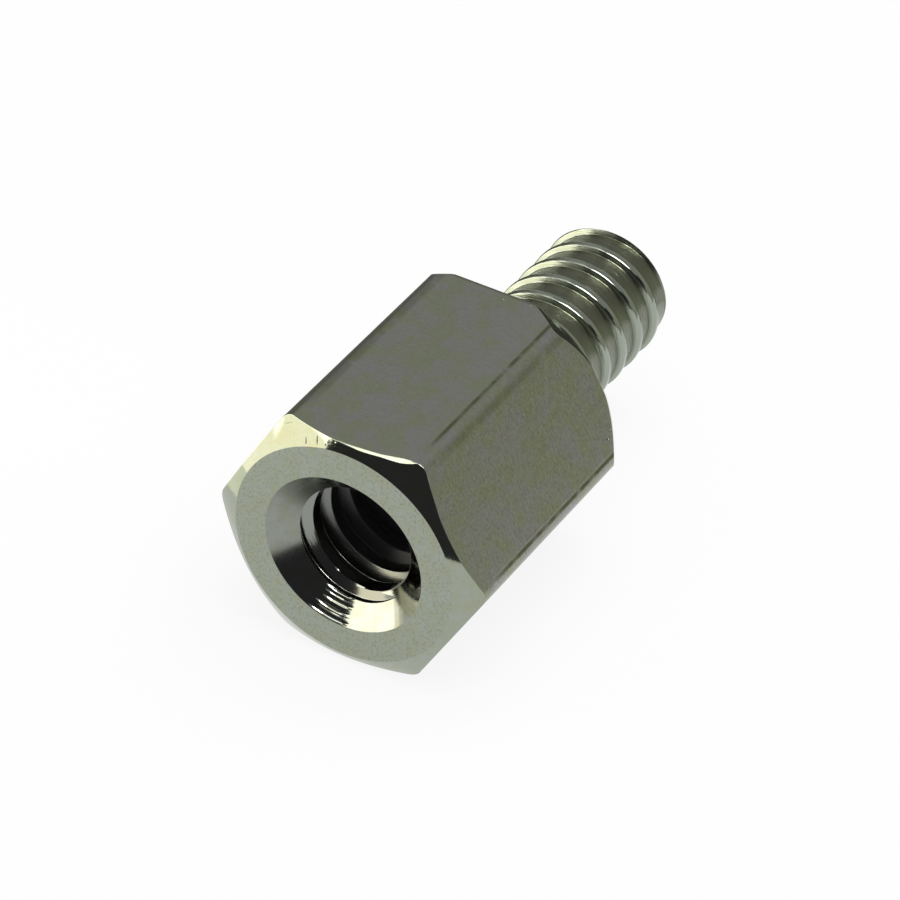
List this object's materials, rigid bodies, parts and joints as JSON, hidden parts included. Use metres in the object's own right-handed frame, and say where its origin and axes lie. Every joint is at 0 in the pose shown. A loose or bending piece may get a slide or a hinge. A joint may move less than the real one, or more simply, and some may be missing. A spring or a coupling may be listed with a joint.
{
  "type": "d-sub screw lock",
  "caption": "Hexagonal screw lock for a D-sub connector: a tapped, countersunk hole in the mouth end and a threaded stud on the shoulder end.",
  "frame": {"origin": "centre of the shoulder face, on the thread axis, where the stud leaves the body", "axes": "+X along the thread axis, from the shoulder towards the stud's tip; +Z is the normal of one flat of the hexagon, and the part lies on the opposite flat"},
  "size_m": [0.01, 0.0056, 0.005],
  "materials": {
    "nickel_plate": "satin"
  },
  "bodies": {
    "root": {"screw_lock": "nickel_plate"}
  },
  "joints": []
}
